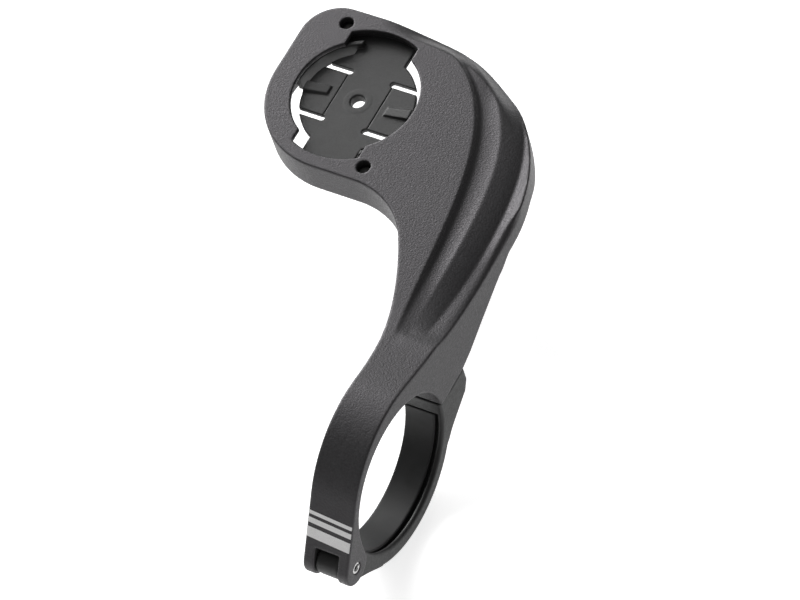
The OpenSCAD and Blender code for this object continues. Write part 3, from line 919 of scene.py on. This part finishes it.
def plastic_finish(name, dark, light, rough, grain_mm):
    """Smoother moulded plastic."""
    f = Finish(name)
    grain, mottle = f.noise(grain_mm, 2), f.noise(5, 4)
    f.bump([(mottle, 0.03, 0.25), (grain, 0.015, 0.4)])
    return f.set(Base_Color=f.shade(mottle, dark, light),
                 Roughness=f.ramp(grain, rough - 0.06, rough + 0.08), Specular_IOR_Level=0.38)


def rubber_finish():
    f = Finish("pad_rubber")
    grain, bloom = f.noise(0.25, 2), f.noise(3.5, 5)
    f.bump([(bloom, 0.02, 0.3), (grain, 0.01, 0.4)])
    return f.set(Base_Color=f.shade(bloom, grey(0.007), grey(0.013, -0.02)),
                 Roughness=f.ramp(bloom, 0.45, 0.62), Specular_IOR_Level=0.35)


def metal_finish(name, dark, light, rough, stretch):
    """Metal with fine turned or ground lines."""
    f = Finish(name)
    lines, patches = f.noise(0.12, 3, 0.6, stretch), f.noise(1.2, 4)
    f.bump([(lines, 0.006, 0.5), (patches, 0.006, 0.3)])
    return f.set(Base_Color=f.shade(patches, dark, light), Metallic=1.0,
                 Roughness=f.ramp(lines, rough - 0.08, rough + 0.1))


# ---------------------------------------------------------------- the pieces

def build_pieces():
    moulding = moulding_finish()
    insert = plastic_finish("insert_plastic", grey(0.017), grey(0.024), 0.50, 0.3)
    jaw = plastic_finish("jaw_plastic", grey(0.007), grey(0.012), 0.46, 0.4)
    steel = metal_finish("ground_steel", grey(0.55), grey(0.68, 0.01), 0.28, (0.1, 1, 1))
    zinc = metal_finish("plated_washer", grey(0.45), grey(0.58, 0.02), 0.34, (1, 1, 0.3))
    black = metal_finish("black_oxide", grey(0.02), grey(0.04, 0.02), 0.42, (1, 1, 0.3))
    brass = metal_finish("turned_brass", (0.50, 0.33, 0.12), (0.66, 0.46, 0.19), 0.3, (1, 1, 0.2))

    stand_for(build_arm(), "arm", "mount_arm", moulding)
    stand_for(build_plate(), "insert_plate", "mount_arm", insert)
    stand_for(build_finger("detent_left", -1), "detent_left", "left_finger", insert)
    stand_for(build_finger("detent_right", 1), "detent_right", "right_finger", insert)
    stand_for(build_jaw(), "lower_jaw", "jaw", jaw)
    stand_for(build_liner(), "jaw_liner", "jaw", rubber_finish())
    stand_for(build_pin(), "hinge_pin", "mount_arm", steel)
    stand_for(build_washer(), "bolt_washer", "washer", zinc)
    stand_for(build_bolt(), "clamp_bolt", "bolt", black)
    stand_for(build_thread_insert(), "thread_insert", "mount_arm", brass)
    for node in ("insert_screw_front", "insert_screw_rear"):
        stand_for(build_screw(node), node, "mount_arm", black)


# ---------------------------------------------------------------- floor, lights and camera

def area_light(name, place, aim, size, watts):
    """A square soft box, in metres, pointing at aim."""
    data = bpy.data.lights.new(name, "AREA")
    data.shape = "SQUARE"
    data.size = size
    data.energy = watts
    light = bpy.data.objects.new(name, data)
    bpy.context.scene.collection.objects.link(light)
    light.location = place
    light.rotation_euler = (aim - place).to_track_quat("-Z", "Y").to_euler()


def build_studio():
    height = cad_box[0][2] - FLOOR_GAP
    corners = [(x * FLOOR_HALF, y * FLOOR_HALF, height) for x, y in ((-1, -1), (1, -1), (1, 1), (-1, 1))]
    mesh = bpy.data.meshes.new("floor")
    mesh.from_pydata(corners, [], [(0, 1, 2, 3)])
    floor = bpy.data.objects.new("floor", mesh)
    bpy.context.scene.collection.objects.link(floor)
    f = Finish("pale_floor")
    floor.data.materials.append(f.set(
        Base_Color=f.shade(f.noise(400, 2), grey(0.88), grey(0.9)), Roughness=0.9,
        Specular_IOR_Level=0.0, Emission_Color=(1, 1, 1, 1), Emission_Strength=FLOOR_GLOW))

    for name, place, size, watts in LIGHTS:
        area_light(name, Vector(MIDDLE) + Vector(place), Vector(MIDDLE), size, watts)

    world = bpy.data.worlds.new("studio")
    world.use_nodes = True
    background = world.node_tree.nodes["Background"]
    background.inputs["Color"].default_value = (1, 1, 1, 1)
    background.inputs["Strength"].default_value = WORLD_GLOW
    bpy.context.scene.world = world
    bpy.context.scene.view_settings.view_transform = "Standard"


def build_camera():
    data = bpy.data.cameras.new("camera")
    data.sensor_width = 36
    data.lens = CAMERA_LENS
    data.clip_start = 0.01
    data.clip_end = 50
    camera = bpy.data.objects.new("camera", data)
    bpy.context.scene.collection.objects.link(camera)
    right, down, forward = (Vector(v).normalized() for v in CAMERA_AXES)
    turn = Matrix((right, -down, -forward)).transposed().to_4x4()
    camera.matrix_world = Matrix.Translation(Vector(CAMERA_PLACE) * MM) @ turn
    bpy.context.scene.camera = camera


build_pieces()
build_studio()
build_camera()
